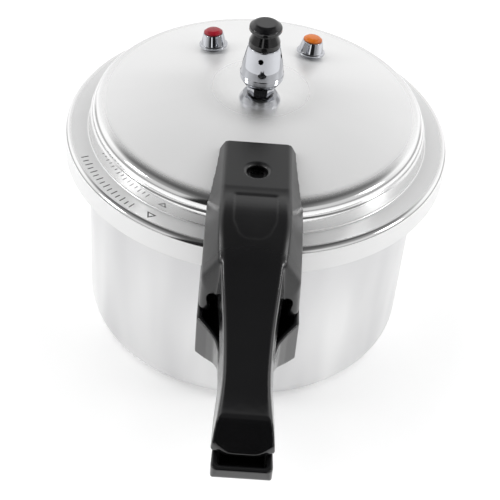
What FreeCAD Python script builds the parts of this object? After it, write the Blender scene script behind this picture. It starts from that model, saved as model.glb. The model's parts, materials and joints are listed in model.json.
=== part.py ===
import FreeCAD, Part
import math
import os

# A household pressure cooker with an outer twist-lock lid, a weight regulator and one long handle.
# Millimetres, +Z up. The origin is the centre of the pot's flat base, and the handle points along -Y.

V = FreeCAD.Vector
UP = V(0, 0, 1)
os.makedirs("parts", exist_ok=True)

# ---------------------------------------------------------------- driving dimensions
lid_r = 117.0            # outer radius of the lid
flange_z = 138.0         # height of the lid's flat flange above the pot's base
skirt_depth = 15.8       # from the flange top down to the skirt's lower edge
sheet = 2.2              # lid wall
dome_edge_r = 95.0       # where the dome's cap meets the rounded shoulder
dome_edge_rise = 17.0    # height of that edge above the flange
crown_rise = 28.5        # height of the dome's centre above the flange

pot_bore_r = 100.0       # inside radius of the pot
pot_wall = 2.5
pot_floor = 3.5
pot_corner = 12.0        # rounding between the pot's wall and base

lug_count = 6
lug_span = 24.0          # degrees covered by each bayonet lug and tooth
open_angle = 32.0        # lid turn that frees the lugs, marked on the flange

handle_gap = 1.0         # between the two handle halves
handle_wall = 3.0
handle_top = 30.0        # flat top of the upper handle, above the flange
facet_drop = 14.7        # height of the slanted sides of the upper handle
wing_half = 26.5         # half-width of the upper handle where its upright walls start
wall_draft = 0.7         # how far those walls lean out on their way down
handle_inner_y = -57.5   # end of the upper handle on the dome
window_y = -83.0         # pressure indicator and its window
window_r = 5.65
pin_travel = 5.3
slide_travel = 5.0

valve_x = 30.3           # overpressure plugs, left and right of the centre
valve_y = 44.8

# ---------------------------------------------------------------- derived levels
crown_z = flange_z + crown_rise
skirt_z = flange_z - skirt_depth
skirt_bore_r = lid_r - sheet
upper_floor_z = skirt_z - 0.2
lower_rim_z = upper_floor_z - handle_gap
rim_z = flange_z - 9.8
lug_z = rim_z - 3.2
tooth_top_z = lug_z - 0.4
pot_r = pot_bore_r + pot_wall
cap_radius = (dome_edge_r ** 2 + (crown_rise - dome_edge_rise) ** 2) / (2 * (crown_rise - dome_edge_rise))
window_z = crown_z - cap_radius + math.sqrt(cap_radius ** 2 - window_y ** 2)
handle_top_z = flange_z + handle_top
ceiling_z = handle_top_z - handle_wall
lug_r = skirt_bore_r - 1.2       # how far the pot's lugs reach
tooth_r = pot_r + 6.2            # how far in the lid's teeth reach
beyond = 40.0                    # half-width past both sides of either handle


# ---------------------------------------------------------------- shape helpers
def rounded(corners):
    """Closed wire in the XY plane through (x, y, rounding) corners."""
    edges = []
    count = len(corners)
    joins = []
    for i in range(count):
        before, here, after = corners[i - 1], corners[i], corners[(i + 1) % count]
        point = V(here[0], here[1], 0)
        back = V(before[0], before[1], 0) - point
        ahead = V(after[0], after[1], 0) - point
        radius = here[2]
        turn = back.getAngle(ahead)
        if radius <= 0 or abs(turn - math.pi) < 1e-4:
            joins.append((point, None, point))
            continue
        reach = radius / math.tan(turn / 2)
        back.normalize()
        ahead.normalize()
        inward = back + ahead
        inward.normalize()
        middle = point + inward * (radius / math.sin(turn / 2) - radius)
        joins.append((point + back * reach, middle, point + ahead * reach))
    for i in range(count):
        start, middle, end = joins[i]
        side = V(*corners[(i + 1) % count][:2], 0) - V(*corners[i][:2], 0)
        if (joins[(i + 1) % count][0] - end).dot(side) < -1e-6:
            raise ValueError("roundings overlap after corner %s" % (corners[i],))
        if middle is not None:
            edges.append(Part.Arc(start, middle, end).toShape())
        following = joins[(i + 1) % count][0]
        if (following - end).Length > 1e-6:
            edges.append(Part.LineSegment(end, following).toShape())
    return Part.Wire(Part.__sortEdges__(edges))


def face_xy(corners, z=0.0):
    face = Part.Face(rounded(corners))
    face.translate(V(0, 0, z))
    return face


def face_xz(corners, y=0.0):
    """Face whose corners are (x, z, rounding), standing at the given y."""
    face = Part.Face(rounded(corners))
    face.rotate(V(0, 0, 0), V(1, 0, 0), 90)
    face.translate(V(0, y, 0))
    return face


def turned(corners, angle=360.0):
    """Solid of revolution about Z from (radius, z, rounding) corners."""
    return face_xz(corners).revolve(V(0, 0, 0), UP, angle)


def prism(corners, z_low, z_high):
    return face_xy(corners, z_low).extrude(V(0, 0, z_high - z_low))


def side_prism(corners, half_width):
    """Prism along X from (y, z, rounding) corners, centred on x = 0."""
    face = Part.Face(rounded(corners))
    face.rotate(V(0, 0, 0), V(1, 1, 1), 120)
    face.translate(V(-half_width, 0, 0))
    return face.extrude(V(2 * half_width, 0, 0))


def rod(radius, z_low, z_high, x=0.0, y=0.0):
    return Part.makeCylinder(radius, z_high - z_low, V(x, y, z_low))


def tube(outer, inner, z_low, z_high, x=0.0, y=0.0):
    return rod(outer, z_low, z_high, x, y).cut(rod(inner, z_low - 1, z_high + 1, x, y))


def block(x_low, x_high, y_low, y_high, z_low, z_high):
    return Part.makeBox(x_high - x_low, y_high - y_low, z_high - z_low, V(x_low, y_low, z_low))


def hexagon(across_flats, z_low, z_high, x=0.0, y=0.0):
    corner = across_flats / math.sqrt(3)
    points = [
        (x + corner * math.cos(math.radians(60 * i)), y + corner * math.sin(math.radians(60 * i)), 0)
        for i in range(6)
    ]
    return prism(points, z_low, z_high)


def sector(r_in, r_out, z_low, z_high, centre, width):
    """Part of a flat ring, centred on an angle in degrees."""
    piece = turned([(r_in, z_low, 0), (r_out, z_low, 0), (r_out, z_high, 0), (r_in, z_high, 0)], width)
    piece.rotate(V(0, 0, 0), UP, centre - width / 2)
    return piece


def joined(shapes):
    whole = shapes[0]
    for shape in shapes[1:]:
        whole = whole.fuse(shape)
    return whole.removeSplitter()


def mirrored_x(shape):
    return shape.mirror(V(0, 0, 0), V(1, 0, 0))


def on_dome(shape, x, y):
    """Stand a shape built at the origin on the dome's surface, along the surface normal."""
    reach = math.hypot(x, y)
    lean = math.degrees(math.asin(reach / cap_radius))
    height = crown_z - cap_radius + math.sqrt(cap_radius ** 2 - reach ** 2)
    placed = shape.copy()
    placed.rotate(V(0, 0, 0), V(-y, x, 0), lean)
    placed.translate(V(x, y, height))
    return placed


def save(name, shape):
    solids = shape.Solids
    if not solids or not all(solid.isValid() for solid in solids):
        raise RuntimeError("bad shape: " + name)
    whole = solids[0] if len(solids) == 1 else Part.makeCompound(solids)
    whole.exportStep("parts/" + name + ".step")
    box = whole.optimalBoundingBox(False)
    print("%-22s %2d solids  x %.1f %.1f  y %.1f %.1f  z %.1f %.1f" % (
        name, len(solids), box.XMin, box.XMax, box.YMin, box.YMax, box.ZMin, box.ZMax))


# ---------------------------------------------------------------- pot
lug_angles = [-90 + 360 / lug_count * i for i in range(lug_count)]


def make_pot_body():
    """Straight-sided pot with a rolled rim that carries the bayonet lugs."""
    collar_r = pot_r + 5.5
    shell = turned([
        (0, 0, 0),
        (pot_r, 0, pot_corner),
        (pot_r, lug_z, 0.8),
        (collar_r, lug_z, 1.0),
        (collar_r, rim_z, 1.2),
        (pot_bore_r, rim_z, 1.2),
        (pot_bore_r, pot_floor, pot_corner - pot_wall),
        (0, pot_floor, 0),
    ])
    lugs = [sector(pot_r + 1, lug_r, lug_z, rim_z, angle, lug_span) for angle in lug_angles]
    body = joined([shell] + lugs)
    for rivet in make_pot_rivets():
        body = body.cut(rivet)
    return body


def rivet_across(x, z):
    """Rivet through the pot wall, along Y, with a domed head at each end."""
    wall_y = math.sqrt(pot_bore_r ** 2 - x ** 2)
    shank = Part.makeCylinder(2.0, pot_wall + 3.2, V(x, -wall_y + 0.4, z), V(0, -1, 0))
    inner_head = Part.makeCylinder(4.2, 1.3, V(x, -wall_y + 1.5, z), V(0, -1, 0))
    outer_head = Part.makeCylinder(3.8, 1.3, V(x, -wall_y - pot_wall - 2.2, z), V(0, -1, 0))
    return joined([shank, inner_head, outer_head])


pot_rivet_places = [(-12, 112), (12, 112), (0, 86)]
pad_half = 18.0          # half-width of the bracket's pad on the pot
pad_low, pad_high = 80.0, 118.0
tongue_z = 100.0
tongue_screw_y = -132.0


def make_pot_rivets():
    return [rivet_across(x, z) for x, z in pot_rivet_places]


def make_pot_bracket():
    """Curved pad on the pot wall with a stiff tongue that reaches into the lower handle."""
    pad = tube(pot_r + 2.0, pot_r, pad_low, pad_high)
    pad = pad.common(block(-pad_half, pad_half, -pot_r - 3, -90, pad_low, pad_high))
    tongue = block(-9, 9, -142, -pot_r - 0.6, tongue_z, tongue_z + 3)
    web = side_prism([(-pot_r - 0.6, 84, 0), (-125, tongue_z + 1, 0), (-pot_r - 0.6, tongue_z + 1, 0)], 1.5)
    bracket = joined([pad, tongue, web])
    bracket = bracket.cut(rod(2.05, tongue_z - 1, tongue_z + 4, 0, tongue_screw_y))
    for rivet in make_pot_rivets():
        bracket = bracket.cut(rivet)
    return bracket


# ---------------------------------------------------------------- lower handle
flare_y = -153.0         # where the lower handle's wide part ends
lower_end_y = -254.5
grip_half = 14.0


def lower_outline(inset):
    """Plan view of the lower handle: wide at the pot, a concave neck, then a straight grip."""
    wide = wing_half + wall_draft + 0.3 - inset
    neck = grip_half - inset
    end = 15.1 - inset
    right = [
        (wide, -60, 0),
        (wide, flare_y + 0.3 * inset, 2.0),
        (21.4 - inset, -161.5, 14.0),
        (17.2 - inset, -168.5, 14.0),
        (neck + 0.9, -177, 14.0),
        (neck, -190, 14.0),
        (neck, -225, 30.0),
        (end, lower_end_y + inset, 3.6 - 0.5 * inset),
    ]
    left = [(-x, y, r) for x, y, r in reversed(right)]
    return right + left


def lower_profile(lift):
    """Side view: deep where it meets the pot, shallow along the grip."""
    above = lower_rim_z + 5
    return [
        (-55, above, 0),
        (-55, 58 + lift, 0),
        (-101, 75 + lift, 0),
        (-160, 97 + lift, 10.0),
        (-180, 108.6 + lift, 30.0),
        (-215, 111.0 + lift, 40.0),
        (lower_end_y + 1.2 + lift, 112.0 + lift, 3.6 - lift),
        (lower_end_y - 0.8 + lift, above, 0),
    ]


def make_lower_handle():
    body = prism(lower_outline(0), 50, lower_rim_z).common(side_prism(lower_profile(0), beyond))
    body = body.cut(Part.makeCylinder(pot_r + 0.2, 200, V(0, 0, 0)))
    body = body.cut(Part.makeCylinder(lug_r + 0.6, 20, V(0, 0, lug_z - 1.0)))
    hollow = prism(lower_outline(handle_wall), 50, lower_rim_z + 4)
    hollow = hollow.common(side_prism(lower_profile(handle_wall), beyond))
    hollow = hollow.cut(Part.makeCylinder(pot_r + handle_wall, 200, V(0, 0, 0)))
    body = body.cut(hollow)
    boss = rod(7.0, 60, tongue_z, 0, tongue_screw_y).common(side_prism(lower_profile(1), beyond))
    body = body.fuse(boss)
    body = body.cut(rod(2.7, 60, tongue_z + 1, 0, tongue_screw_y))
    body = body.cut(rod(5.6, 60, 92.5, 0, tongue_screw_y))
    play = 0.4
    opening = block(-pad_half - play, pad_half + play, -pot_r - 2.4, -90, pad_low - play, pad_high + play)
    tongue_way = block(-9.4, 9.4, -pot_r - handle_wall - 6, -90, 82, tongue_z + 3.4)
    body = body.cut(opening).cut(tongue_way)
    for x, z in pot_rivet_places:
        body = body.cut(Part.makeCylinder(4.4, 8, V(x, -100, z), V(0, -1, 0)))
    return body


def make_lower_screw():
    head = turned([(0, 88.9, 0), (4.6, 88.9, 1.0), (4.6, 91.3, 0), (0, 91.3, 0)])
    shank = rod(2.0, 91.3, tongue_z + 5)
    slot = block(-0.6, 0.6, -5, 5, 88.0, 89.9)
    screw = head.fuse(shank).cut(slot)
    screw.translate(V(0, tongue_screw_y, 0))
    return screw


def make_lower_washer():
    return tube(5.3, 2.3, 91.3, 92.5, 0, tongue_screw_y)


# ---------------------------------------------------------------- lid
def dome_solid(outline, crown, edge_z):
    """Solid under a spherical cap and the (radius, z, rounding) corners that lead down from it."""
    bottom = outline[-1][1]
    below = turned([(0, edge_z, 0), (dome_edge_r, edge_z, 0)] + outline + [(0, bottom, 0)])
    middle = V(dome_edge_r / 2, 0, crown - (crown - edge_z) / 4)
    arc = Part.Arc(V(0, 0, crown), middle, V(dome_edge_r, 0, edge_z)).toShape()
    down = Part.LineSegment(V(dome_edge_r, 0, edge_z), V(0, 0, edge_z)).toShape()
    up_axis = Part.LineSegment(V(0, 0, edge_z), V(0, 0, crown)).toShape()
    cap = Part.Face(Part.Wire([arc, down, up_axis])).revolve(V(0, 0, 0), UP, 360)
    return below.fuse(cap).removeSplitter()


def lid_envelope(growth):
    """Outside of the lid, grown outwards by a clearance: shoulder, ledge, wall, flange and skirt."""
    bottom = skirt_z if growth == 0 else skirt_z - 1
    corners = [
        (100.2, 15.7, 6.0),
        (100.4, 9.9, 0.5),
        (101.6, 9.3, 0.6),
        (102.4, 0.0, 1.6),
        (lid_r, 0.0, 3.4),
    ]
    outline = [(radius + growth, flange_z + rise + growth, rounding) for radius, rise, rounding in corners]
    outline.append((lid_r + growth, bottom, 0))
    return dome_solid(outline, crown_z + growth, flange_z + dome_edge_rise + growth)


def lid_inside():
    """Hollow of the lid, one sheet thickness inside its outer surface."""
    corners = [
        (98.0, 13.4, 3.8),
        (100.2, -sheet, 1.2),
        (skirt_bore_r, -sheet, 1.4),
        (skirt_bore_r, -skirt_depth - 1, 0),
    ]
    outline = [(radius, flange_z + rise, rounding) for radius, rise, rounding in corners]
    return dome_solid(outline, crown_z - sheet, flange_z + dome_edge_rise - sheet)


lid_outer = lid_envelope(0)
vent_bore_r = 5.1        # also the pressure indicator's hole
valve_bore_r = 4.35
lid_rivet_r = 1.8
mark_in_r = 107.2
mark_out_r = 111.6
tick_first = 39.0        # degrees from the handle to the first tick
tick_last = 66.5
tick_count = 15
valve_places = {"red": (-valve_x, valve_y), "orange": (valve_x, valve_y)}


def flange_marks():
    """Shallow cuts in the flange: ticks, and an arrow that meets the pot's handle once the lid is free."""
    depth = 0.3
    low, high = flange_z - depth, flange_z + 1
    arrow = prism([(-3.2, -mark_in_r, 0), (3.2, -mark_in_r, 0), (0, -mark_out_r, 0)], low, high)
    arrow = arrow.cut(prism([
        (-1.8, -mark_in_r - 0.7, 0), (1.8, -mark_in_r - 0.7, 0), (0, -mark_out_r + 1.2, 0),
    ], low, high))
    arrow.rotate(V(0, 0, 0), UP, -open_angle)
    cuts = [arrow]
    for i in range(tick_count):
        tick = block(-0.35, 0.35, -mark_out_r, -mark_in_r - 1.0 * (i % 2), low, high)
        tick.rotate(V(0, 0, 0), UP, -(tick_first + (tick_last - tick_first) * i / (tick_count - 1)))
        cuts.append(tick)
    return Part.makeCompound(cuts)


def make_lid_shell():
    """Spun lid with a ring of bayonet teeth turned in from the skirt's lower edge."""
    shell = lid_outer.cut(lid_inside())
    teeth = [
        sector(tooth_r, lid_r - 1, skirt_z, tooth_top_z, angle, lug_span)
        for angle in lug_angles
    ]
    shell = joined([shell] + teeth)
    shell = shell.cut(rod(vent_bore_r, flange_z, crown_z + 5))
    shell = shell.cut(rod(vent_bore_r, flange_z, crown_z + 5, 0, window_y))
    for x, y in valve_places.values():
        shell = shell.cut(on_dome(rod(valve_bore_r, -6, 3), x, y))
    for x, y in bracket_rivet_places:
        shell = shell.cut(on_dome(rod(lid_rivet_r, -6, 3), x, y))
    return shell.cut(flange_marks())


def make_gasket():
    """Channel-section ring, open towards the steam so that pressure spreads its lips."""
    inner, outer = pot_r + 0.4, skirt_bore_r - 0.5
    low, high = rim_z + 0.2, flange_z - sheet
    return turned([
        (inner, low, 0.8), (outer, low, 0.8), (outer, high, 1.6), (inner, high, 0.8),
        (inner, high - 2.4, 0.5), (outer - 4.4, high - 2.4, 0.8),
        (outer - 4.4, low + 2.2, 0.8), (inner, low + 2.2, 0.5),
    ])


# ---------------------------------------------------------------- vent pipe and strainer
pipe_r = 3.9
pipe_top = crown_z + 21.0
nut_top = crown_z + 3.4
flange_top_z = crown_z - sheet - 1.1


def make_vent_pipe():
    """Steam pipe: flange under the lid, thread through it, plain pipe above with a clip groove."""
    pipe = joined([
        rod(9.0, flange_top_z - 2.0, flange_top_z),
        rod(5.0, flange_top_z - 5.0, crown_z + 4.0),
        turned([(0, crown_z + 3, 0), (pipe_r, crown_z + 3, 0), (pipe_r, pipe_top - 1, 0),
                (pipe_r - 1.2, pipe_top, 0), (0, pipe_top, 0)]),
    ])
    groove = tube(pipe_r + 1, pipe_r - 0.5, crown_z + 6.3, crown_z + 8.3)
    return pipe.cut(groove).cut(rod(1.5, flange_top_z - 10, pipe_top + 5))


def make_vent_washer():
    return tube(9.4, 5.1, flange_top_z, flange_top_z + 0.9)


def make_vent_nut():
    nut = hexagon(14.0, crown_z, nut_top)
    trim = turned([
        (0, crown_z, 0), (8.1, crown_z, 0), (8.1, nut_top - 0.9, 0), (7.0, nut_top, 0), (0, nut_top, 0),
    ])
    return nut.common(trim).cut(rod(5.05, crown_z - 1, nut_top + 1))


def make_strainer():
    """Perforated cup that snaps over the vent pipe's flange."""
    outer, inner = 10.3, 9.05
    low, high = flange_top_z - 12.5, flange_top_z - 0.2
    cup = turned([(0, low, 0), (outer, low, 2.5), (outer, high, 0.3), (inner, high, 0.3),
                  (inner, low + 1.2, 1.4), (0, low + 1.2, 0)])
    for i in range(10):
        hole = Part.makeCylinder(1.3, 6, V(7, 0, low + 5.5), V(1, 0, 0))
        hole.rotate(V(0, 0, 0), UP, 36 * i)
        cup = cup.cut(hole)
    for i in range(6):
        hole = rod(1.3, low - 1, low + 3, 5.2, 0)
        hole.rotate(V(0, 0, 0), UP, 60 * i)
        cup = cup.cut(hole)
    return cup


# ---------------------------------------------------------------- regulator weight
def up(height):
    return crown_z + height


shell_top = 29.6         # heights of the weight's parts are above the lid's crown
knob_top = 44.5
stud_r = 1.5
stud_top = 41.0
hole_height = 24.0
hole_turn = -8.0         # the front steam hole sits a little left of the handle line


def make_regulator_shell():
    """Chrome bell: narrow rim, widest low down, a crease, then a long taper to the top ring."""
    outer = turned([
        (0, up(4.2), 0), (10.6, up(4.2), 0.6), (13.1, up(8.0), 2.0), (13.1, up(10.9), 0.3),
        (12.75, up(11.3), 0.3), (12.2, up(16.5), 12.0), (9.6, up(shell_top - 0.9), 0.3),
        (9.6, up(shell_top), 0.4), (0, up(shell_top), 0),
    ])
    inner = joined([rod(10.0, up(4), up(6.0)), rod(8.2, up(4), up(shell_top + 1))])
    shell = outer.cut(inner)
    for i in range(4):
        hole = Part.makeCylinder(1.6, 8, V(0, -6.5, up(hole_height)), V(0, -1, 0))
        hole.rotate(V(0, 0, 0), UP, hole_turn + 90 * i)
        shell = shell.cut(hole)
    return shell


def make_regulator_base():
    """Lower insert: a ridged disc under the weight and a sleeve that rides on the vent pipe."""
    disc = rod(9.95, up(4.4), up(6.0))
    sleeve = rod(8.2, up(6.0), up(18.0))
    base = disc.fuse(sleeve).cut(rod(pipe_r + 0.35, up(3), up(20)))
    for i in range(30):
        ridge = block(6.2, 10.5, -0.25, 0.25, up(4.0), up(4.9))
        ridge.rotate(V(0, 0, 0), UP, 12 * i)
        base = base.cut(ridge)
    base = base.cut(tube(5.5, pipe_r, up(6.4), up(8.2)))
    return base


def make_regulator_clip():
    """Spring ring held in the insert, gripping over the pipe's groove."""
    ring = Part.makeTorus(4.95, 0.5, V(0, 0, up(7.3)))
    return ring.cut(block(3, 7, -0.8, 0.8, up(6), up(9)))


def make_regulator_plug():
    """Top plug of the weight with a post that holds the needle."""
    plug = joined([rod(8.2, up(26.8), up(shell_top)), rod(4.6, up(22.1), up(27.0))])
    plug = plug.cut(rod(2.65, up(21), up(27.25)))
    return plug.cut(rod(stud_r + 0.05, up(26), up(31)))


def make_regulator_needle():
    """Needle that closes the pipe's bore and lets the weight turn about it."""
    return turned([
        (0, up(18.6), 0), (0.4, up(18.6), 0), (1.3, up(21.05), 0), (3.3, up(21.05), 0), (3.3, up(21.95), 0),
        (2.6, up(21.95), 0), (2.6, up(26.0), 0), (0, up(26.0), 0),
    ])


def make_regulator_stud():
    return joined([rod(stud_r, up(27.2), up(stud_top)), rod(2.6, up(26.3), up(27.2))])


def make_regulator_knob():
    """Black knob: round foot, cone up to a narrow neck, and a flat mushroom head."""
    knob = turned([
        (0, up(shell_top), 0), (9.2, up(shell_top), 0.5), (9.2, up(32.6), 1.2), (6.9, up(37.9), 0.9),
        (7.2, up(38.9), 0.4), (9.7, up(39.8), 0.8), (9.7, up(42.2), 1.3), (6.6, up(knob_top), 4.0),
        (0, up(knob_top), 0),
    ])
    return knob.cut(rod(stud_r + 0.05, up(29), up(stud_top + 0.2)))


# ---------------------------------------------------------------- overpressure valves
nut_height = 10.4        # above the dome, along its normal
seat_thread_r = 4.2
plug_stem_r = 3.45


def make_valve_nut():
    """Chrome nut: short neck on the dome, thin flange ring, cone above."""
    body = turned([
        (0, 0.05, 0), (5.4, 0.05, 0.2), (5.6, 0.9, 0.4), (8.9, 2.4, 0.3), (8.9, 3.3, 0.3),
        (7.8, 3.7, 0.3), (6.2, nut_height, 0.5), (0, nut_height, 0),
    ])
    return body.cut(rod(seat_thread_r + 0.05, -1, 3.4)).cut(rod(plug_stem_r + 0.1, -1, nut_height + 1))


def make_valve_plug():
    """Silicone plug: stem in the nut's bore and a round button on top."""
    return turned([
        (0, -4.5, 0), (plug_stem_r, -4.5, 0.4), (plug_stem_r, nut_height, 0), (5.9, nut_height, 0.4),
        (5.9, nut_height + 1.0, 0.8), (4.0, nut_height + 2.3, 2.4), (0, nut_height + 2.7, 0),
    ])


def make_valve_seat():
    """Threaded sleeve with a hexagonal head under the lid."""
    low = -sheet - 3.2
    seat = hexagon(14.0, low, -sheet - 0.15).fuse(rod(seat_thread_r, low, 3.2))
    return seat.cut(rod(plug_stem_r + 0.05, low - 1, 5))


# ---------------------------------------------------------------- pressure indicator
sleeve_low = window_z - 9.2
sleeve_high = window_z + 2.6


def make_float_sleeve():
    """Guide tube through the lid, with a round flange that is shaped to the dome."""
    flange = rod(7.6, window_z - 4, sleeve_high - 0.4, 0, window_y).cut(lid_outer)
    stem = rod(5.0, sleeve_low, sleeve_high, 0, window_y)
    return flange.fuse(stem).cut(rod(2.6, sleeve_low - 1, sleeve_high + 1, 0, window_y)).removeSplitter()


def make_float_nut():
    nut = hexagon(13.6, sleeve_low + 0.6, window_z - 2.2, 0, window_y).cut(lid_outer.cut(lid_inside()))
    return nut.cut(rod(5.05, sleeve_low - 1, window_z + 1, 0, window_y))


def make_float_pin():
    """Pin that steam pressure lifts: wide foot below the lid, small head that shows in the window."""
    foot = sleeve_low - 0.2 - pin_travel - 1.5
    stem = rod(2.53, foot - 3, sleeve_high + 0.5, 0, window_y)
    base = rod(4.8, foot - 3, foot, 0, window_y)
    head = rod(3.3, sleeve_high + 0.1, sleeve_high + 1.5, 0, window_y)
    return joined([stem, base, head])


def make_float_seal():
    foot = sleeve_low - 0.2 - pin_travel - 1.5
    return tube(4.6, 2.53, foot, foot + 1.5, 0, window_y)


# ---------------------------------------------------------------- lid handle bracket
bracket_rivet_places = [(-11.5, -70.0), (11.5, -70.0)]
arm_top_z = flange_z + 2.5
boss_places = [(-9.0, -125.5), (9.0, -125.5)]
screw_r = 2.0


def make_lid_bracket():
    """Pressed strap: lies on the dome, steps down its side and runs out over the flange."""
    strap = lid_envelope(2.0).cut(lid_outer)
    foot = strap.common(block(-15, 15, -96, -64, flange_z, crown_z + 5))
    riser = strap.common(block(-13, 13, -106, -90, flange_z, crown_z + 5))
    arm = block(-13, 13, -133, -103.0, flange_z, arm_top_z).cut(lid_outer)
    bracket = joined([foot, riser, arm])
    bracket = bracket.cut(rod(8.2, flange_z, crown_z + 5, 0, window_y))
    for x, y in bracket_rivet_places:
        bracket = bracket.cut(on_dome(rod(lid_rivet_r, -6, 4), x, y))
    for x, y in boss_places:
        bracket = bracket.cut(rod(screw_r + 0.2, flange_z - 5, arm_top_z + 5, x, y))
    return bracket


def make_lid_rivets():
    rivets = []
    for x, y in bracket_rivet_places:
        shank = rod(lid_rivet_r, -sheet - 1.0, 2.2)
        inner_head = rod(3.2, -sheet - 1.3, -sheet - 0.05)
        shape = joined([shank, inner_head, rod(3.0, 2.05, 3.0)])
        rivets.append(on_dome(shape, x, y))
    return rivets


# ---------------------------------------------------------------- upper handle
# Stations along the spine: y, top half-width, lower half-width, top rise, lower rise.
spine_stations = [
    (-98, 18.4, 19.4, 29.9, 0.0),
    (-107, 18.4, 19.4, 29.9, 0.0),
    (-117, 18.5, 19.5, 29.7, -1.0),
    (-130, 18.2, 19.2, 26.2, -2.5),
    (-143, 16.8, 18.3, 20.4, -3.5),
    (-156, 15.5, 17.0, 14.6, -4.5),
    (-170, 14.0, 15.5, 9.4, -7.0),
    (-185, 12.7, 14.3, 4.9, -11.5),
    (-200, 11.9, 14.1, 1.6, -16.0),
    (-210, 11.7, 14.5, 0.3, -16.0),
    (-220, 12.1, 15.1, -0.6, -16.0),
    (-232, 13.1, 15.6, -0.9, -16.0),
    (-241, 13.8, 15.7, -0.6, -16.0),
    (-254, 14.2, 15.8, -0.2, -16.0),
]
nose_y = -149.4          # blunt front of the hood
nose_round = 6.0
upper_end_y = -247.0
end_crease_y = -236.5    # where the grip's top turns down towards its end


def station_wire(corners, y):
    wire = rounded(corners)
    wire.rotate(V(0, 0, 0), V(1, 0, 0), 90)
    wire.translate(V(0, y, 0))
    return wire


def spine(inset):
    wires = []
    for y, top_half, low_half, top_rise, low_rise in spine_stations:
        top, low = top_half - inset, low_half - inset
        z_top, z_low = flange_z + top_rise - inset, flange_z + low_rise - 2 * inset
        corner = max(0.8, 2.4 - 0.5 * inset)
        corners = [(-top, z_top, corner), (top, z_top, corner), (low, z_low, 0.8), (-low, z_low, 0.8)]
        wires.append(station_wire(corners, y))
    return Part.makeLoft(wires, True, False)


# Stations along the hood: y, ridge half-width, ridge rise. The facet and wall keep their size below it.
# The hood is level up to the first one; after it the ridge runs just under the spine's top.
hood_stations = [
    (-98, 18.5, 30.0),
    (-107, 18.7, 29.7),
    (-117, 18.8, 29.2),
    (-130, 18.5, 25.6),
    (nose_y + nose_round, 17.2, 19.7),
]


def hood(inset):
    """Wide body of the handle over the lid, sinking with the spine to a blunt, rounded front."""
    last_y, last_ridge, last_rise = hood_stations[-1]
    stations = [(y, ridge, rise, 0.0) for y, ridge, rise in hood_stations]
    for turn in (30, 52, 68, 80):
        ahead = nose_round * math.sin(math.radians(turn))
        sunk = nose_round * (1 - math.cos(math.radians(turn)))
        stations.append((last_y - ahead, last_ridge, last_rise - 0.42 * ahead, sunk))
    wires = []
    for y, ridge_x, rise, sunk in stations:
        narrow = inset + sunk
        ridge, wall = ridge_x - inset - 0.6 * sunk, wing_half - narrow
        top = flange_z + rise - narrow
        shoulder = flange_z + rise - facet_drop - 0.3 * inset - 0.8 * sunk
        right = [
            (ridge, top, max(0.8, 2.4 - 0.5 * inset)),
            (wall, shoulder, 3.0),
            (wall + wall_draft, upper_floor_z - inset, 0),
        ]
        left = [(-x, z, rounding) for x, z, rounding in reversed(right)]
        wires.append(station_wire(right + left, y))
    turn_in = len(hood_stations) - 1
    level = Part.Face(wires[0]).extrude(V(0, handle_inner_y + 5 - hood_stations[0][0], 0))
    slope = Part.makeLoft(wires[:turn_in + 1], True, False)
    front = Part.makeLoft(wires[turn_in:], True, False)
    body = level.fuse(slope).fuse(front)
    inner_y = handle_inner_y - inset
    side = wing_half + wall_draft + 1
    plan = prism([
        (-side, inner_y, 4.5), (side, inner_y, 4.5), (side, -160, 0), (-side, -160, 0),
    ], upper_floor_z - 10, handle_top_z + 10)
    return body.common(plan)


def notch_cut(side):
    """Arched opening in the blunt front, between the spine and the hooked nose."""
    low, arch = upper_floor_z - 1, flange_z - 4.0
    cut = face_xz([
        (17.0, low, 0), (20.9, low, 0), (20.9, upper_floor_z + 3.5, 1.0), (22.6, arch - 3.2, 1.5),
        (21.9, arch, 1.9), (17.6, arch, 1.9), (17.0, arch - 5, 0),
    ], -141.0).extrude(V(0, -15, 0))
    return cut if side > 0 else mirrored_x(cut)


panel_depth = 0.5


def blank_panel():
    """Shallow recess with a straight upper edge and a round lower edge."""
    right = [(11.8, -104.0, 0.8), (11.8, -124.0, 6.0), (7.3, -134.6, 8.0)]
    outline = right + [(-x, y, rounding) for x, y, rounding in reversed(right)]
    return prism(outline, flange_z + 10, handle_top_z + 5)


def make_upper_handle():
    spine_body = spine(0)
    hood_body = hood(0)
    for side in (1, -1):
        hood_body = hood_body.cut(notch_cut(side))
    body = spine_body.fuse(hood_body)
    right_end = [(beyond, -40, 0), (beyond, -230, 0), (16.6, -243.2, 3.5), (8.0, upper_end_y, 16.0)]
    end_outline = right_end + [(-x, y, rounding) for x, y, rounding in reversed(right_end)]
    body = body.common(prism(end_outline, upper_floor_z, handle_top_z + 5))
    end_slope = side_prism([
        (end_crease_y + 8, flange_z + 6, 0),
        (end_crease_y + 8, flange_z - 0.3, 0),
        (end_crease_y, flange_z - 1.1, 4.0),
        (upper_end_y - 0.4, upper_floor_z + 1.5, 0),
        (upper_end_y - 0.4, upper_floor_z - 1, 0),
        (upper_end_y - 20, upper_floor_z - 1, 0),
        (upper_end_y - 20, flange_z + 6, 0),
    ], beyond)
    body = body.cut(end_slope)
    body = body.cut(lid_envelope(0.25))
    return body


def handle_cavity():
    """Room inside the upper handle for the bracket, slide, spring and screws."""
    low, high = upper_floor_z - 10, handle_top_z + 10
    wide = hood(handle_wall).common(block(-beyond, beyond, -140, handle_inner_y - handle_wall, low, high))
    narrow = spine(handle_wall).common(block(-beyond, beyond, -139, -100, low, high))
    return wide.fuse(narrow).fuse(block(-15, 15, -139, -112, upper_floor_z - 2, flange_z + 4))


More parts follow.
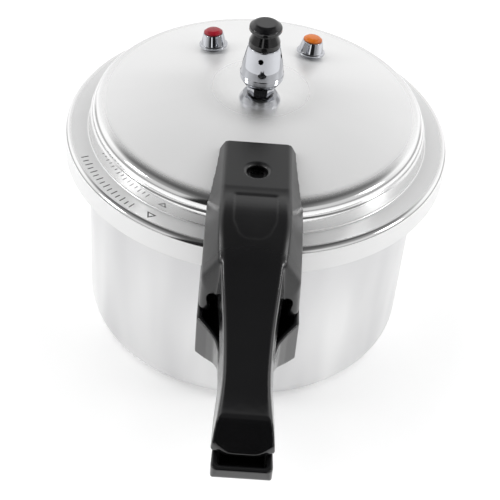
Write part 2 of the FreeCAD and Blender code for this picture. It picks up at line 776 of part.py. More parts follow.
def slide_rails():
    """Two hooked rails under the handle's ceiling that carry the interlock slide."""
    rails = []
    for side in (1, -1):
        edges = sorted([side * (slide_half + 0.4), side * (slide_half + 2.4)])
        lip = sorted([side * (slide_half - 1.0), side * (slide_half + 2.4)])
        rails.append(block(edges[0], edges[1], -109, -88, slide_z - 1.6, ceiling_z + 0.5))
        rails.append(block(lip[0], lip[1], -109, -88, slide_z - 1.6, slide_z - 0.4))
    return rails


def finish_upper_handle():
    body = make_upper_handle().cut(handle_cavity())
    right_hollow = [(11, -150, 3), (8.6, -205, 20), (10.5, -238, 3)]
    outline = right_hollow + [(-x, y, rounding) for x, y, rounding in reversed(right_hollow)]
    grip_hollow = prism(outline, upper_floor_z - 1, flange_z - 9.0)
    body = body.cut(grip_hollow)
    bosses = [rod(4.0, arm_top_z, flange_z + 26, x, y) for x, y in boss_places]
    rib = block(-10, 10, spring_rib_y - 2.6, spring_rib_y, flange_z + 10, flange_z + 24)
    body = joined([body] + bosses + [rib] + slide_rails())
    for x, y in boss_places:
        body = body.cut(rod(screw_r + 0.05, arm_top_z - 1, flange_z + 17, x, y))
    window = rod(window_r, ceiling_z - 2, handle_top_z + 3, 0, window_y)
    recess = rod(7.15, handle_top_z - 0.7, handle_top_z + 3, 0, window_y)
    body = body.cut(window).cut(recess)
    panel_floor = spine(panel_depth)
    return body.cut(blank_panel().common(make_upper_handle()).cut(panel_floor))


# ---------------------------------------------------------------- interlock and cover
slide_z = ceiling_z - 2.3
slide_half = 7.5
slide_inner_y = -70.0
slide_outer_y = -112.0
spring_rib_y = -130.0


def make_interlock_slide():
    """Thin plate above the bracket with a slot for the pressure pin and a tab for the spring."""
    slot_r = 3.8
    slot_end = window_y + slide_travel + 1
    low, high = slide_z - 1, slide_z + 3
    plate = block(-slide_half, slide_half, slide_outer_y, slide_inner_y, slide_z, slide_z + 1.5)
    slot = joined([
        rod(slot_r, low, high, 0, window_y),
        rod(slot_r, low, high, 0, slot_end),
        block(-slot_r, slot_r, window_y, slot_end, low, high),
    ])
    tab = block(-4.0, 4.0, slide_outer_y, slide_outer_y + 1.5, flange_z + 9.5, slide_z + 0.5)
    return plate.cut(slot).fuse(tab).removeSplitter()


def make_interlock_spring():
    """Compression spring between the slide's tab and the handle's rib, lying along Y."""
    turns, coil_r, wire_r = 8, 3.1, 0.45
    start = slide_outer_y - wire_r - 0.3
    length = start - spring_rib_y - wire_r - 0.3
    path = Part.makeHelix(length / turns, length, coil_r)
    section = Part.Wire(Part.makeCircle(wire_r, V(coil_r, 0, 0), V(0, 1, 0)))
    coil = Part.Wire(path.Edges).makePipeShell([section], True, True)
    coil.rotate(V(0, 0, 0), V(1, 0, 0), 90)
    coil.translate(V(0, start, flange_z + 15))
    return coil


def make_cover():
    """Flat plate that closes the upper handle's underside, with two screwdriver holes."""
    low, high = upper_floor_z + 1.2, upper_floor_z + 3.2
    plate = hood(handle_wall + 0.3).common(block(-beyond, beyond, -139.5, -118.6, low, high))
    plate = plate.cut(Part.makeCylinder(lid_r + 1.0, 60, V(0, 0, upper_floor_z - 20)))
    for x, y in boss_places:
        plate = plate.cut(rod(4.4, 0, 300, x, y))
    return plate


def make_upper_screws():
    screws = []
    for x, y in boss_places:
        slot = block(x - 0.5, x + 0.5, y - 4, y + 4, flange_z - 3, flange_z - 1.7)
        head = rod(3.7, flange_z - 2.6, flange_z, x, y).cut(slot)
        screws.append(head.fuse(rod(screw_r, flange_z, flange_z + 15.5, x, y)))
    return screws


# ---------------------------------------------------------------- write every piece
pieces = {
    "pot_body": make_pot_body,
    "pot_handle_bracket": make_pot_bracket,
    "pot_bracket_rivets": lambda: Part.makeCompound(make_pot_rivets()),
    "lower_handle": make_lower_handle,
    "lower_handle_screw": make_lower_screw,
    "lower_handle_washer": make_lower_washer,
    "lid_shell": make_lid_shell,
    "sealing_gasket": make_gasket,
    "vent_pipe": make_vent_pipe,
    "vent_pipe_washer": make_vent_washer,
    "vent_pipe_nut": make_vent_nut,
    "strainer_cap": make_strainer,
    "regulator_shell": make_regulator_shell,
    "regulator_base": make_regulator_base,
    "regulator_clip": make_regulator_clip,
    "regulator_plug": make_regulator_plug,
    "regulator_needle": make_regulator_needle,
    "regulator_stud": make_regulator_stud,
    "regulator_knob": make_regulator_knob,
    "float_sleeve": make_float_sleeve,
    "float_sleeve_nut": make_float_nut,
    "float_pin": make_float_pin,
    "float_seal": make_float_seal,
    "lid_handle_bracket": make_lid_bracket,
    "lid_bracket_rivets": lambda: Part.makeCompound(make_lid_rivets()),
    "upper_handle": finish_upper_handle,
    "upper_handle_screws": lambda: Part.makeCompound(make_upper_screws()),
    "handle_cover": make_cover,
    "interlock_slide": make_interlock_slide,
    "interlock_spring": make_interlock_spring,
}
for name, make in pieces.items():
    save(name, make())
for colour, (x, y) in valve_places.items():
    save(colour + "_valve_nut", on_dome(make_valve_nut(), x, y))
    save(colour + "_valve_plug", on_dome(make_valve_plug(), x, y))
    save(colour + "_valve_seat", on_dome(make_valve_seat(), x, y))
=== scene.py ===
import json
import math

import bmesh
import bpy
from mathutils import Matrix, Vector


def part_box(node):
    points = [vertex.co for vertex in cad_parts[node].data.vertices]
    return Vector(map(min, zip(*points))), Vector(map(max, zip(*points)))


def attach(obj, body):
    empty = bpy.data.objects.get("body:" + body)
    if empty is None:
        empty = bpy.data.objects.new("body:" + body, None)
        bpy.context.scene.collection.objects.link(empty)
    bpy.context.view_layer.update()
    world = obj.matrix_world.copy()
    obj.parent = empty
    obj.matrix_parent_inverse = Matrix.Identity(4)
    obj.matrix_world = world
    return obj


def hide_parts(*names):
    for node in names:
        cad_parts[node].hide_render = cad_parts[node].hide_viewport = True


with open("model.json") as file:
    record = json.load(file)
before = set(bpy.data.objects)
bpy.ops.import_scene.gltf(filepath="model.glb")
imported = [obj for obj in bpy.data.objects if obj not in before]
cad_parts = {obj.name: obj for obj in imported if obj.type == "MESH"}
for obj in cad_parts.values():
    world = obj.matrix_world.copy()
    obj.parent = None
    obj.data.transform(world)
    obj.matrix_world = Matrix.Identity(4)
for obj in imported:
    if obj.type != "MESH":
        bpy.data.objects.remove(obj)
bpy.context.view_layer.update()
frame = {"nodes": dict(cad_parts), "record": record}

# Household pressure cooker: spun aluminium pot and lid, chrome weight, black moulded handles.
# Metres, +Z up, origin at the centre of the pot's base, handle along -Y.
# Profiles are written in millimetres and scaled when a mesh is made.

MM = 0.001
nodes = frame["nodes"]
lid_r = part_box("lid_shell")[1][0] / MM                   # outer radius of the lid
crown_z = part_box("vent_pipe_nut")[0][2] / MM             # centre of the dome
sheet = 2.2                                              # lid wall
crown_rise = 28.5                                        # crown above the flat flange
flange_z = crown_z - crown_rise
edge_r = 95.0                                            # where the dome meets the shoulder
edge_rise = 17.0                                         # height of that edge above the flange
cap_r = (edge_r ** 2 + (crown_rise - edge_rise) ** 2) / (2 * (crown_rise - edge_rise))
skirt_z = flange_z - 15.8
lug_angles = [-90 + 60 * i for i in range(6)]
lug_span = 24.0
mark_in_r, mark_out_r = 107.2, 111.6                     # the flange's marks lie between these radii
arrow_turn = -32.0                                       # place of the arrow, in degrees from the handle
valve_x, valve_y = 30.3, 44.8                            # places of the two overpressure valves
around = 320                                             # segments of a large turned piece


# ---------------------------------------------------------------- node helpers
class Nodes:
    """The node tree of a material or of the world, with one short method per kind of node."""

    def __init__(self, name, world_tree=None):
        if world_tree:
            self.tree = world_tree
            self.shader = world_tree.nodes["Background"]
            self.shader.inputs[0].default_value = (1, 1, 1, 1)
            return
        self.material = bpy.data.materials.new(name)
        self.material.use_nodes = True
        self.tree = self.material.node_tree
        self.tree.nodes.clear()
        output = self.tree.nodes.new("ShaderNodeOutputMaterial")
        self.shader = self.tree.nodes.new("ShaderNodeBsdfPrincipled")
        self.tree.links.new(self.shader.outputs[0], output.inputs[0])

    def add(self, kind, **settings):
        node = self.tree.nodes.new(kind)
        for key, value in settings.items():
            setattr(node, key, value)
        return node

    def link(self, source, target):
        self.tree.links.new(source, target)

    def set(self, **values):
        for key, value in values.items():
            self.shader.inputs[key.replace("_", " ")].default_value = value

    def step(self, value, start, end):
        """0 before start, 1 after end, smooth between; start may be the larger."""
        node = self.add("ShaderNodeMapRange", interpolation_type="SMOOTHSTEP")
        self.link(value, node.inputs[0])
        node.inputs[1].default_value = start
        node.inputs[2].default_value = end
        return node.outputs[0]

    def place(self):
        return self.add("ShaderNodeTexCoord").outputs["Object"]

    def math(self, operation, first, second=0.0):
        node = self.add("ShaderNodeMath", operation=operation)
        for socket, value in zip(node.inputs, (first, second)):
            if isinstance(value, (int, float)):
                socket.default_value = value
            else:
                self.link(value, socket)
        return node.outputs[0]

    def plus(self, first, second):
        return self.math("ADD", first, second)

    def times(self, first, second):
        return self.math("MULTIPLY", first, second)

    def inverted(self, value):
        """1 minus a value."""
        return self.math("SUBTRACT", 1.0, value)

    def size(self, value):
        """A value without its sign."""
        return self.math("ABSOLUTE", value)

    def split(self, vector):
        """The x, y and z of a vector."""
        node = self.add("ShaderNodeSeparateXYZ")
        self.link(vector, node.inputs[0])
        return node.outputs

    def radius(self, x, y):
        """Distance from the pot's axis."""
        return self.math("SQRT", self.plus(self.times(x, x), self.times(y, y)))

    def noise(self, vector, scale, detail=3.0, roughness=0.5):
        node = self.add("ShaderNodeTexNoise")
        node.inputs["Scale"].default_value = scale
        node.inputs["Detail"].default_value = detail
        node.inputs["Roughness"].default_value = roughness
        self.link(vector, node.inputs["Vector"])
        return node.outputs[0]

    def spread(self, value, low, high):
        """Map a 0.3 to 0.7 noise value to a low to high range."""
        node = self.add("ShaderNodeMapRange")
        self.link(value, node.inputs[0])
        node.inputs[1].default_value = 0.3
        node.inputs[2].default_value = 0.7
        node.inputs[3].default_value = low
        node.inputs[4].default_value = high
        return node.outputs[0]

    def tint(self, value, dark, light):
        """Colour between two colours."""
        node = self.add("ShaderNodeMix", data_type="RGBA")
        self.link(value, node.inputs[0])
        node.inputs[6].default_value = (*dark, 1)
        node.inputs[7].default_value = (*light, 1)
        self.link(node.outputs[2], self.shader.inputs["Base Color"])

    def rough(self, value):
        self.link(value, self.shader.inputs["Roughness"])

    def bump(self, height, distance, strength):
        node = self.add("ShaderNodeBump")
        node.inputs["Strength"].default_value = strength
        node.inputs["Distance"].default_value = distance
        self.link(height, node.inputs["Height"])
        self.link(node.outputs[0], self.shader.inputs["Normal"])

    def around_axis(self, across, along, up):
        """Coordinates (radius, angle, height) about the pot's axis, each with its own scale."""
        x, y, z = self.split(self.place())
        joined = self.add("ShaderNodeCombineXYZ")
        self.link(self.times(self.radius(x, y), across), joined.inputs[0])
        self.link(self.times(self.math("ARCTAN2", y, x), along), joined.inputs[1])
        self.link(self.times(z, up), joined.inputs[2])
        return joined.outputs[0]


# ---------------------------------------------------------------- materials
def spun_aluminium(name, light, streaked_shaded_colour, satin, rough, ring_depth, polished_rough=None):
    """Bare aluminium turned on a lathe: satin skin, fine rings, soft smudges, and painted shade that darkens
    the upper wall towards the rim, where the lid's skirt shades the pot.

    With polished_rough, the crown, the shoulder and the flange's corner are polished to that roughness.
    """
    n = Nodes(name)
    n.set(Metallic=satin, Anisotropic=0.35)
    tangent = n.add("ShaderNodeTangent", direction_type="RADIAL", axis="Z")
    n.link(tangent.outputs[0], n.shader.inputs["Tangent"])
    rings = n.noise(n.around_axis(2600, 1.2, 2600), 1.0, 4.0, 0.6)
    bands = n.noise(n.around_axis(160, 0.8, 160), 1.0, 3.0, 0.6)
    smudge = n.noise(n.place(), 14.0, 2.0, 0.45)
    streak = n.noise(n.around_axis(9.0, 2.6, 5.0), 1.0, 2.0, 0.5)
    x, y, z = n.split(n.place())
    # painted shade: the colour darkens from 45 to 115 mm high, standing for the shadow of the lid's skirt on
    # the pot's upper wall; the lid, which lies higher, is dimmed evenly by it
    shade_from, shade_to, shade_strength = 0.045, 0.115, 0.6
    skirt_shade = n.inverted(n.times(n.step(z, shade_from, shade_to), shade_strength))
    n.tint(n.times(skirt_shade, n.spread(streak, 0.25, 1.0)), streaked_shaded_colour, light)
    skin = n.plus(n.spread(bands, rough - 0.01, rough + 0.01), n.spread(smudge, -0.02, 0.02))
    if polished_rough:
        radius = n.radius(x, y)
        crown = n.step(radius, 0.045, 0.012)
        shoulder = n.times(n.step(radius, 0.090, 0.097), n.step(radius, 0.1040, 0.1015))
        corner = n.times(n.step(radius, 0.1120, 0.1140), n.step(radius, 0.11695, 0.1167))
        polish = n.plus(n.plus(crown, shoulder), corner)
        skin = n.plus(skin, n.times(polish, polished_rough - rough))
        n.link(n.plus(n.times(polish, 1.0 - satin), satin), n.shader.inputs["Metallic"])
    n.rough(skin)
    n.bump(rings, ring_depth, 0.5)
    return n.material


def chrome():
    n = Nodes("chrome")
    n.set(Metallic=1.0)
    haze = n.noise(n.place(), 90.0, 3.0)
    n.tint(haze, (0.49, 0.50, 0.53), (0.57, 0.58, 0.61))
    n.rough(n.spread(haze, 0.03, 0.07))
    n.bump(n.noise(n.place(), 180.0, 2.0), 0.00002, 0.3)
    return n.material


def etched_black_and_shade():
    """Blackened metal, matt and slightly mottled, for the lid's marks; on the float's guide the same black
    is painted shade, for the dark inside of the handle's window.
    """
    n = Nodes("etched_black_and_shade")
    grain = n.noise(n.place(), 1500.0, 3.0)
    n.tint(grain, (0.01, 0.01, 0.01), (0.05, 0.05, 0.05))
    n.rough(n.spread(grain, 0.5, 0.7))
    return n.material


def brushed_steel():
    n = Nodes("brushed_steel")
    n.set(Metallic=1.0)
    grain = n.noise(n.place(), 900.0, 4.0, 0.6)
    n.tint(grain, (0.46, 0.46, 0.47), (0.60, 0.60, 0.61))
    n.rough(n.spread(grain, 0.22, 0.36))
    n.bump(grain, 0.00003, 0.4)
    return n.material


def cast_zinc():
    n = Nodes("cast_zinc")
    n.set(Metallic=1.0)
    grain = n.noise(n.place(), 600.0, 5.0, 0.65)
    n.tint(grain, (0.34, 0.34, 0.35), (0.52, 0.52, 0.53))
    n.rough(n.spread(grain, 0.28, 0.42))
    n.bump(grain, 0.00008, 0.6)
    return n.material


def black_moulding(name, rough_low, rough_high, hood_extra=0.0):
    """Black moulding with slight flow marks and orange peel; hood_extra is how much rougher the hood is."""
    n = Nodes(name)
    n.set(Specular_IOR_Level=0.7)
    flow = n.noise(n.place(), 35.0, 4.0, 0.55)
    n.tint(flow, (0.004, 0.004, 0.0045), (0.007, 0.007, 0.0075))
    grip_y, hood_y = -0.165, -0.125                      # the grip lies beyond the first, the hood within
    y = n.split(n.place())[1]
    duller = n.times(n.step(y, grip_y, hood_y), hood_extra)
    n.rough(n.plus(n.spread(flow, rough_low, rough_high), duller))
    n.bump(n.noise(n.place(), 500.0, 2.0), 0.00001, 0.15)
    return n.material


def silicone(name, dark, light):
    n = Nodes(name)
    n.set(Subsurface_Weight=0.05, Subsurface_Scale=0.003, Specular_IOR_Level=0.5)
    cloud = n.noise(n.place(), 220.0, 3.0)
    n.tint(n.spread(cloud, 0.0, 1.0), dark, light)
    n.rough(n.spread(cloud, 0.16, 0.26))
    n.bump(n.noise(n.place(), 1500.0, 2.0), 0.00001, 0.3)
    return n.material


materials = {
    # the second colour is the dark end reached by random streaks and by the painted shade on the pot's upper
    # wall
    "spun_aluminium": spun_aluminium(
        "spun_aluminium", (0.86, 0.86, 0.86), (0.55, 0.55, 0.56), satin=0.9, rough=0.33, ring_depth=0.000002,
    ),
    "lid_aluminium": spun_aluminium(
        "lid_aluminium", (0.87, 0.87, 0.87), (0.82, 0.82, 0.82), satin=0.5, rough=0.42, ring_depth=0.000005,
        polished_rough=0.08,
    ),
    "chrome": chrome(),
    "etched_black_and_shade": etched_black_and_shade(),
    "steel": brushed_steel(),
    "zinc_insert": cast_zinc(),
    "black_phenolic": black_moulding("black_phenolic", 0.10, 0.15, 0.20),
    "black_knob": black_moulding("black_knob", 0.10, 0.16),
    "black_nylon": black_moulding("black_nylon", 0.40, 0.55),
    "red_silicone": silicone("red_silicone", (0.20, 0.003, 0.010), (0.31, 0.006, 0.018)),
    "orange_silicone": silicone("orange_silicone", (0.52, 0.12, 0.008), (0.64, 0.17, 0.015)),
    "gasket_silicone": silicone("gasket_silicone", (0.55, 0.55, 0.52), (0.68, 0.68, 0.65)),
}


# ---------------------------------------------------------------- turned shapes
def fillet(corners):
    """Closed outline through (x, y, rounding) corners, with a short flat beside each rounding."""
    points = []
    count = len(corners)
    for i in range(count):
        before, here, after = corners[i - 1], corners[i], corners[(i + 1) % count]
        point = Vector(here[:2])
        back = Vector(before[:2]) - point
        ahead = Vector(after[:2]) - point
        if here[2] <= 0 or back.length < 1e-6 or ahead.length < 1e-6:
            points.append(point)
            continue
        turn = back.angle(ahead)
        reach = here[2] / math.tan(turn / 2)
        start = point + back.normalized() * reach
        end = point + ahead.normalized() * reach
        middle = (back.normalized() + ahead.normalized()).normalized()
        centre = point + middle * (here[2] / math.sin(turn / 2))
        sweep = math.pi - turn
        steps = max(4, int(sweep / math.radians(7)))
        first, last = start - centre, end - centre
        flat = min(0.35, 0.2 * here[2] + 0.1)
        if back.length > 4 * reach + flat:
            points.append(start + back.normalized() * flat)
        for k in range(steps + 1):
            t = k / steps
            way = (first * math.sin((1 - t) * sweep) + last * math.sin(t * sweep)) / math.sin(sweep)
            points.append(centre + way)
        if ahead.length > 4 * reach + flat:
            points.append(end + ahead.normalized() * flat)
    return points


def cap_arc(radius, centre_z, reach, steps):
    """Points of a dome from its centre out to a reach."""
    angles = [math.asin(reach / radius) * i / steps for i in range(steps + 1)]
    return [(radius * math.sin(a), centre_z + radius * math.cos(a), 0) for a in angles]


def revolve(bm, outline, segments):
    """Turn an outline of (radius, height) points in millimetres about Z."""
    rings = []
    for radius, height in outline:
        if radius < 1e-4:
            rings.append([bm.verts.new((0, 0, height * MM))])
            continue
        ring = []
        for k in range(segments):
            angle = 2 * math.pi * k / segments
            x, y = radius * math.cos(angle), radius * math.sin(angle)
            ring.append(bm.verts.new((x * MM, y * MM, height * MM)))
        rings.append(ring)
    count = len(rings)
    for i in range(count):
        here, there = rings[i], rings[(i + 1) % count]
        if len(here) == 1 and len(there) == 1:
            continue
        for k in range(segments):
            after = (k + 1) % segments
            if len(here) == 1:
                bm.faces.new((here[0], there[k], there[after]))
            elif len(there) == 1:
                bm.faces.new((here[k], there[0], here[after]))
            else:
                bm.faces.new((here[k], there[k], there[after], here[after]))


def ring_part(bm, r_in, r_out, z_low, z_high, centre, width, steps=12):
    """Part of a flat ring, in millimetres, about an angle in degrees."""
    rows = []
    for k in range(steps + 1):
        angle = math.radians(centre - width / 2 + width * k / steps)
        rows.append([
            bm.verts.new((r * math.cos(angle) * MM, r * math.sin(angle) * MM, z * MM))
            for r, z in ((r_in, z_low), (r_out, z_low), (r_out, z_high), (r_in, z_high))
        ])
    for k in range(steps):
        for j in range(4):
            m = (j + 1) % 4
            bm.faces.new((rows[k][j], rows[k][m], rows[k + 1][m], rows[k + 1][j]))
    bm.faces.new(rows[0][::-1])
    bm.faces.new(rows[-1])


def add_piece(name, bm, body, slot, replaced=(), material=None):
    """Make an object of bm that rides on a body and stands for the replaced CAD nodes."""
    bmesh.ops.recalc_face_normals(bm, faces=bm.faces)
    mesh = bpy.data.meshes.new(name)
    bm.to_mesh(mesh)
    bm.free()
    mesh.shade_smooth()
    mesh.materials.append(materials[material or slot])
    piece = bpy.data.objects.new(name, mesh)
    bpy.context.scene.collection.objects.link(piece)
    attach(piece, body)
    if replaced:
        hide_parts(*replaced)
    return piece


def dome_matrix(x, y):
    """Place of a fitting that stands on the dome, along its surface normal."""
    reach = math.hypot(x, y)
    lean = Matrix.Rotation(math.asin(reach / cap_r), 4, Vector((-y, x, 0)).normalized())
    height = crown_z - cap_r + math.sqrt(cap_r ** 2 - reach ** 2)
    return Matrix.Translation(Vector((x, y, height)) * MM) @ lean


def dress_cad_nodes():
    """Every CAD node that stays gets the finish of its record slot; the float's guide is made black instead,
    as painted shade inside the handle's window.
    """
    for part in frame["record"]["subparts"]:
        # painted shade: the float's guide takes the black of the marks, for the dark inside of the handle's
        # window
        finish = "etched_black_and_shade" if part["node"] == "float_sleeve" else part["material_slot"]
        mesh = nodes[part["node"]].data
        mesh.materials.clear()
        mesh.materials.append(materials[finish])


# ---------------------------------------------------------------- turned pieces
def make_lid():
    """Dome, rounded shoulder, ledge, flat flange and skirt, with the bayonet teeth inside."""
    outer = cap_arc(cap_r, crown_z - cap_r, edge_r, 70) + [
        (100.2, flange_z + 15.7, 5.6), (100.4, flange_z + 9.9, 0.5), (101.6, flange_z + 9.3, 0.6),
        (102.4, flange_z, 1.6), (lid_r, flange_z, 3.4), (lid_r, skirt_z, 0.4),
    ]
    inner = cap_arc(cap_r - sheet, crown_z - cap_r, edge_r - 0.5, 30) + [
        (98.0, flange_z + 13.4, 3.8), (100.2, flange_z - sheet, 1.2),
        (lid_r - sheet, flange_z - sheet, 1.4), (lid_r - sheet, skirt_z, 0.4),
    ]
    bm = bmesh.new()
    revolve(bm, fillet(outer + inner[::-1]), around)
    for angle in lug_angles:
        ring_part(bm, 108.7, lid_r - 1.0, skirt_z, skirt_z + 2.4, angle, lug_span)
    add_piece("lid_spun", bm, "lid", "lid_aluminium", ["lid_shell"])


def make_pot():
    """Straight pot with a rounded base corner and a rolled rim that carries the lugs."""
    rim_z = flange_z - 9.8
    lug_z = rim_z - 3.2
    bm = bmesh.new()
    revolve(bm, fillet([
        (0, 0, 0), (60, 0, 0), (102.5, 0, 12.0), (102.5, lug_z, 0.8), (108.0, lug_z, 1.0),
        (108.0, rim_z, 1.2), (100.0, rim_z, 1.2), (100.0, 3.5, 9.5), (0, 3.5, 0),
    ]), around)
    for angle in lug_angles:
        ring_part(bm, 107.0, lid_r - 3.4, lug_z, rim_z, angle, lug_span)
    add_piece("pot_spun", bm, "pot", "spun_aluminium", ["pot_body"])


def make_marks():
    """Outlined arrow and a row of ticks, etched dark in the flange on the left."""
    bm = bmesh.new()
    top, low = flange_z + 0.02, flange_z - 0.3

    def stamp(points, turn):
        """A flat plate with these corners beside the handle line, turned about the axis."""
        spin = Matrix.Rotation(math.radians(turn), 4, "Z")
        rims = []
        for z in (low, top):
            rims.append([bm.verts.new(spin @ Vector((x * MM, y * MM, z * MM))) for x, y in points])
        bm.faces.new(rims[0][::-1])
        bm.faces.new(rims[1])
        for k in range(len(points)):
            after = (k + 1) % len(points)
            bm.faces.new((rims[0][k], rims[0][after], rims[1][after], rims[1][k]))

    outer = [(-3.2, -mark_in_r), (3.2, -mark_in_r), (0, -mark_out_r)]
    inner = [(-1.8, -mark_in_r - 0.7), (1.8, -mark_in_r - 0.7), (0, -mark_out_r + 1.2)]
    for k in range(3):
        after = (k + 1) % 3
        stamp([outer[k], outer[after], inner[after], inner[k]], arrow_turn)
    ticks, first_tick, tick_span, tick_half = 15, 39.0, 27.5, 0.35
    for i in range(ticks):
        near = -mark_in_r - 1.0 * (i % 2)
        turn = -(first_tick + tick_span * i / (ticks - 1))
        left, right = -tick_half, tick_half
        stamp([(left, -mark_out_r), (right, -mark_out_r), (right, near), (left, near)], turn)
    marks = add_piece("flange_marks", bm, "lid", "lid_aluminium", material="etched_black_and_shade")
    marks.data.shade_flat()


def make_weight():
    """Chrome bell with four steam holes, and the black knob above it."""
    up = crown_z
    hole_turn, hole_height, hole_r = -8.0, 24.0, 1.6
    bm = bmesh.new()
    revolve(bm, fillet([
        (8.25, up + 4.4, 0), (10.1, up + 4.2, 0.2), (10.6, up + 4.2, 0.5), (13.1, up + 8.0, 2.0),
        (13.1, up + 10.9, 0.3), (12.75, up + 11.3, 0.3), (12.2, up + 16.5, 12.0), (9.6, up + 28.7, 0.3),
        (9.6, up + 29.6, 0.4), (8.25, up + 29.6, 0),
    ]), 192)
    shell = add_piece("weight_shell", bm, "regulator", "chrome", ["regulator_shell"])
    bm = bmesh.new()
    for i in range(4):
        turn = Matrix.Rotation(math.radians(hole_turn + 90 * i), 4, "Z")
        middle = Matrix.Translation((0, -11.0 * MM, (up + hole_height) * MM))
        bmesh.ops.create_cone(
            bm, cap_ends=True, segments=40, radius1=hole_r * MM, radius2=hole_r * MM, depth=7 * MM,
            matrix=turn @ middle @ Matrix.Rotation(math.pi / 2, 4, "X"),
        )
    drill(shell, bm)
    bm = bmesh.new()
    revolve(bm, fillet([
        (0, up + 29.6, 0), (9.2, up + 29.6, 0.5), (9.2, up + 32.6, 1.2), (6.9, up + 37.9, 0.9),
        (7.2, up + 38.9, 0.4), (9.7, up + 39.8, 0.8), (9.7, up + 42.2, 1.3), (6.6, up + 44.5, 4.0),
        (0, up + 44.5, 0),
    ]), 128)
    add_piece("weight_knob", bm, "regulator", "black_knob", ["regulator_knob"])


def drill(piece, bm):
    """Cut the closed shapes in bm out of a piece."""
    mesh = bpy.data.meshes.new("drill")
    bm.to_mesh(mesh)
    bm.free()
    tool = bpy.data.objects.new("drill", mesh)
    bpy.context.scene.collection.objects.link(tool)
    cut = piece.modifiers.new("cut", "BOOLEAN")
    cut.object = tool
    cut.operation = "DIFFERENCE"
    cut.solver = "EXACT"
    apply_modifiers(piece)
    bpy.data.objects.remove(tool)
    piece.data.set_sharp_from_angle(angle=math.radians(35))


def apply_modifiers(piece):
    """Turn a piece's modifiers into its mesh."""
    graph = bpy.context.evaluated_depsgraph_get()
    graph.update()
    mesh = bpy.data.meshes.new_from_object(piece.evaluated_get(graph))
    piece.modifiers.clear()
    piece.data = mesh


def make_valve(colour, x, y):
    """Chrome nut with a thin ring and a cone, and the silicone button on top, leaning with the dome."""
    place = dome_matrix(x, y)
    bm = bmesh.new()
    revolve(bm, fillet([
        (3.6, 0.05, 0), (5.4, 0.05, 0.2), (5.6, 0.9, 0.4), (8.9, 2.4, 0.3), (8.9, 3.3, 0.3),
        (7.8, 3.7, 0.3), (6.2, 10.4, 0.5), (3.6, 10.4, 0),
    ]), 128)
    bmesh.ops.transform(bm, matrix=place, verts=bm.verts)
    add_piece(colour + "_safety_nut", bm, "lid", "chrome", [colour + "_valve_nut"])
    bm = bmesh.new()
    revolve(bm, fillet([
        (0, -4.5, 0), (3.45, -4.5, 0.4), (3.45, 10.42, 0), (5.9, 10.42, 0.4),
        (5.9, 11.4, 0.8), (4.0, 12.7, 2.4), (0, 13.1, 0),
    ]), 128)
    bmesh.ops.transform(bm, matrix=place, verts=bm.verts)
    add_piece(colour + "_safety_plug", bm, "lid", colour + "_silicone", [colour + "_valve_plug"])


# ---------------------------------------------------------------- moulded pieces
def make_moulding(node, name, body, voxel, passes):
    """A moulded handle half: the frame's solid with the soft edges of a real moulding."""
    bm = bmesh.new()
    bm.from_mesh(nodes[node].data)
    bmesh.ops.remove_doubles(bm, verts=bm.verts, dist=1e-6)
    piece = add_piece(name, bm, body, "black_phenolic", [node])
    remesh = piece.modifiers.new("soften", "REMESH")
    remesh.mode = "VOXEL"
    remesh.voxel_size = voxel * MM
    smooth = piece.modifiers.new("relax", "SMOOTH")
    smooth.factor = 0.5
    smooth.iterations = passes
    apply_modifiers(piece)
    piece.data.shade_smooth()


# ---------------------------------------------------------------- floor, light, camera
def make_floor():
    """Plain pale floor, a little bright by itself so that it fades into the background."""
    mesh = bpy.data.meshes.new("floor")
    half = 6.0
    corners = [(-half, -half, 0), (half, -half, 0), (half, half, 0), (-half, half, 0)]
    mesh.from_pydata(corners, [], [(0, 1, 2, 3)])
    n = Nodes("floor_white")
    n.set(Base_Color=(0.85, 0.85, 0.85, 1), Roughness=0.6)
    n.set(Emission_Color=(1, 1, 1, 1), Emission_Strength=0.32)
    mesh.materials.append(n.material)
    floor = bpy.data.objects.new("floor", mesh)
    bpy.context.scene.collection.objects.link(floor)


def area_light(name, azimuth, elevation, distance, size, power, glossy):
    """Square soft light aimed at the lid, placed by azimuth from -Y and elevation in degrees.

    A light that isn't glossy lights the object but doesn't show in its reflections.
    """
    side, rise = math.radians(azimuth), math.radians(elevation)
    data = bpy.data.lights.new(name, "AREA")
    data.size = size
    data.energy = power
    light = bpy.data.objects.new(name, data)
    target = Vector((0, 0, flange_z * MM))
    offset = Vector((math.sin(side) * math.cos(rise), -math.cos(side) * math.cos(rise), math.sin(rise)))
    light.visible_glossy = glossy
    light.location = target + distance * offset
    light.rotation_euler = (-offset).to_track_quat("-Z", "Y").to_euler()
    bpy.context.scene.collection.objects.link(light)


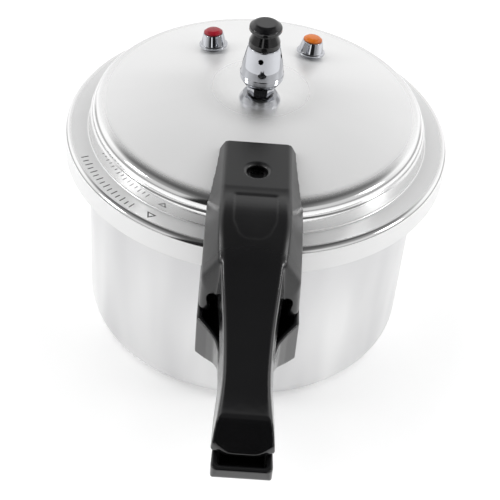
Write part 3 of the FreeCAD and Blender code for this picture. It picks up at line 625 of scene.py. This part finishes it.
def make_light():
    """Studio: pale wall behind, dark ceiling, dark camera side with one soft box, lights on both sides.

    The surroundings are a strength for each direction (x, y, z) of length 1. turn is 0 towards -Y.
    """
    scene = bpy.context.scene
    scene.view_settings.view_transform = "Standard"
    world = bpy.data.worlds.new("studio")
    scene.world = world
    world.use_nodes = True
    n = Nodes("studio", world.node_tree)
    x, y, z = n.split(n.add("ShaderNodeTexCoord").outputs["Generated"])
    turn = n.math("ARCTAN2", x, n.times(y, -1.0))

    # the wall is brightest behind the object, with a darker band low down at the sides
    wall_dim, wall_gain, band_dulling = 0.40, 0.44, 0.75
    wall = n.plus(n.times(n.step(y, -0.1, 0.55), wall_gain), wall_dim)
    band = n.times(n.step(z, 0.30, 0.16), n.step(n.size(turn), 2.55, 2.3))
    wall = n.times(wall, n.inverted(n.times(band, band_dulling)))

    # the ceiling is darkest over the handle line
    ceiling_dark, ceiling_gain = 0.1, 0.24
    ceiling = n.plus(n.times(n.step(n.size(x), 0.25, 0.6), ceiling_gain), ceiling_dark)
    room = n.plus(n.times(n.step(z, 0.78, 0.60), wall), ceiling)

    # the camera's side is dark above the floor, with a narrow soft box
    dark_shift, box_shift, dark_strength, box_gain = 0.12, 0.24, 0.02, 1.3
    dark = n.times(n.step(n.size(n.plus(turn, dark_shift)), 0.72, 0.52), n.step(z, 0.0, 0.05))
    box = n.times(n.step(n.size(n.plus(turn, box_shift)), 0.12, 0.08), n.step(z, 0.36, 0.28))
    south = n.plus(n.times(box, box_gain), dark_strength)
    n.link(n.plus(n.times(room, n.inverted(dark)), n.times(south, dark)), n.shader.inputs["Strength"])

    fill_height, fill_size, spark_height, spark_size, distance = 60, 1.2, 32, 0.32, 1.5
    area_light("fill_left", -100, fill_height, distance, fill_size, 10.5, glossy=False)
    area_light("fill_right", 100, fill_height, distance, fill_size, 9.5, glossy=False)
    area_light("spark_left", -85, spark_height, distance, spark_size, 2.6, glossy=True)
    area_light("spark_right", 85, spark_height, distance, spark_size, 2.6, glossy=True)


def make_camera():
    """Seen from above the handle, close enough for the long handle to loom."""
    azimuth, elevation = math.radians(-1.6), math.radians(35.79)
    distance = 0.7821
    yaw, pitch, roll = -0.172, -5.619, -5.105            # degrees, away from looking at the lid's centre
    data = bpy.data.cameras.new("camera")
    data.sensor_width = 36.0
    data.lens = 91.25
    camera = bpy.data.objects.new("camera", data)
    offset = Vector((
        math.sin(azimuth) * math.cos(elevation),
        -math.cos(azimuth) * math.cos(elevation),
        math.sin(elevation),
    ))
    ahead = -offset
    right = ahead.cross(Vector((0, 0, 1))).normalized()
    up = right.cross(ahead)
    for angle, axis in ((yaw, "up"), (pitch, "right"), (roll, "ahead")):
        turn = Matrix.Rotation(math.radians(angle), 3, {"up": up, "right": right, "ahead": ahead}[axis])
        ahead, right, up = turn @ ahead, turn @ right, turn @ up
    camera.matrix_world = Matrix((right, up, -ahead)).transposed().to_4x4()
    camera.location = Vector((0, 0, flange_z * MM)) + distance * offset
    bpy.context.scene.collection.objects.link(camera)
    bpy.context.scene.camera = camera


dress_cad_nodes()
make_lid()
make_pot()
make_marks()
make_weight()
make_valve("red", -valve_x, valve_y)
make_valve("orange", valve_x, valve_y)
make_moulding("upper_handle", "handle_top_half", "lid", voxel=0.6, passes=8)
make_moulding("lower_handle", "handle_bottom_half", "pot", voxel=0.6, passes=4)
make_floor()
make_light()
make_camera()
